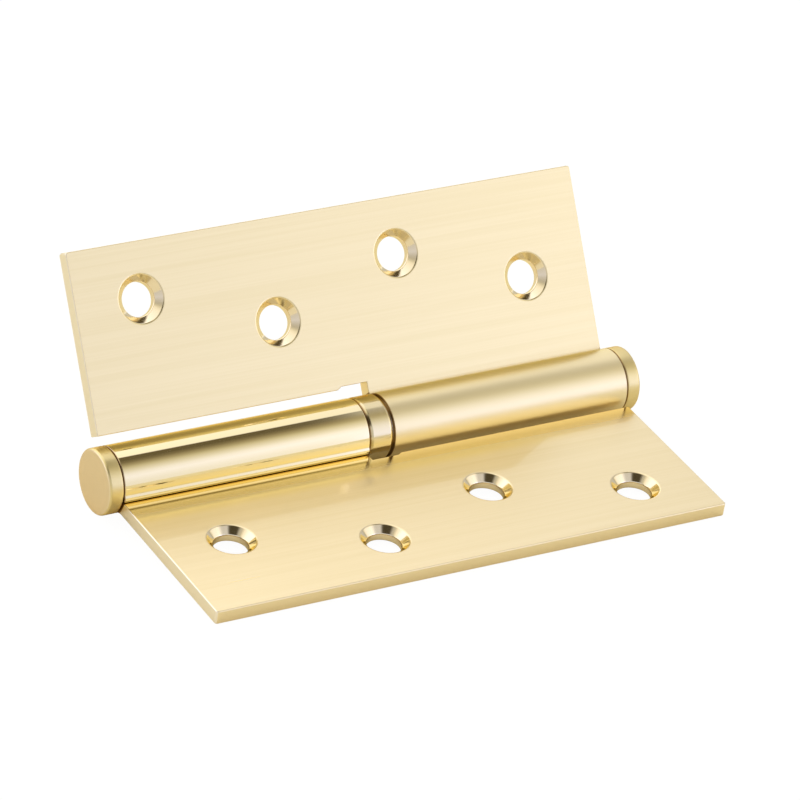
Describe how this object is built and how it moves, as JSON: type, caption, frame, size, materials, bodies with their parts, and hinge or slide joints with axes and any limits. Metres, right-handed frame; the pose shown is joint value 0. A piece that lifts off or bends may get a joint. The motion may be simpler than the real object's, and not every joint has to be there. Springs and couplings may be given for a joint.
{
  "type": "lift-off hinge",
  "caption": "Lift-off butt hinge in brass-finish sheet steel: leaves with countersunk screw holes, knuckles rolled round a fixed pin, a bearing ring between them and capped ends.",
  "frame": {"origin": "middle of the fixed leaf's screw pattern, on its back face, which lies against the door frame", "axes": "+X along the pin towards the lift-off leaf's knuckle, +Y from the fixed leaf to the pin, +Z out of the fixed leaf's inner face"},
  "size_m": [0.1054, 0.0637, 0.0366],
  "materials": {
    "leaf_gold": "brushed pale gold plating, knuckles polished",
    "cap_gold": "turned satin gold plating",
    "ring_gold": "turned satin gold plating",
    "pin_steel": "ground steel",
    "bearing_steel": "polished bearing steel"
  },
  "bodies": {
    "fixed_leaf": {"pin_leaf": "leaf_gold", "hinge_pin": "pin_steel", "pin_end_cap": "cap_gold", "bearing_shell": "ring_gold", "bearing_lower_race": "bearing_steel"},
    "upper_race": {"bearing_upper_race": "bearing_steel"},
    "lift_leaf": {"lift_off_leaf": "leaf_gold", "socket_end_cap": "cap_gold"},
    "ball_ring": {"bearing_balls": "bearing_steel"}
  },
  "joints": [
    {"name": "leaf_swing", "type": "hinge", "parent": "fixed_leaf", "child": "upper_race", "pos_m": [0, 0.0247, 0.00375], "axis": [-1, 0, 0], "range_deg": [-125, 145]},
    {"name": "lift_off", "type": "slide", "parent": "upper_race", "child": "lift_leaf", "axis": [1, 0, 0], "range_m": [0, 0.045]},
    {"name": "ball_roll", "type": "hinge", "parent": "fixed_leaf", "child": "ball_ring", "pos_m": [0, 0.0247, 0.00375], "axis": [-1, 0, 0], "range_deg": [-62.5, 72.5]}
  ],
  "couplings": [
    {"joint": "ball_roll", "follows": "leaf_swing", "ratio": 0.5}
  ]
}
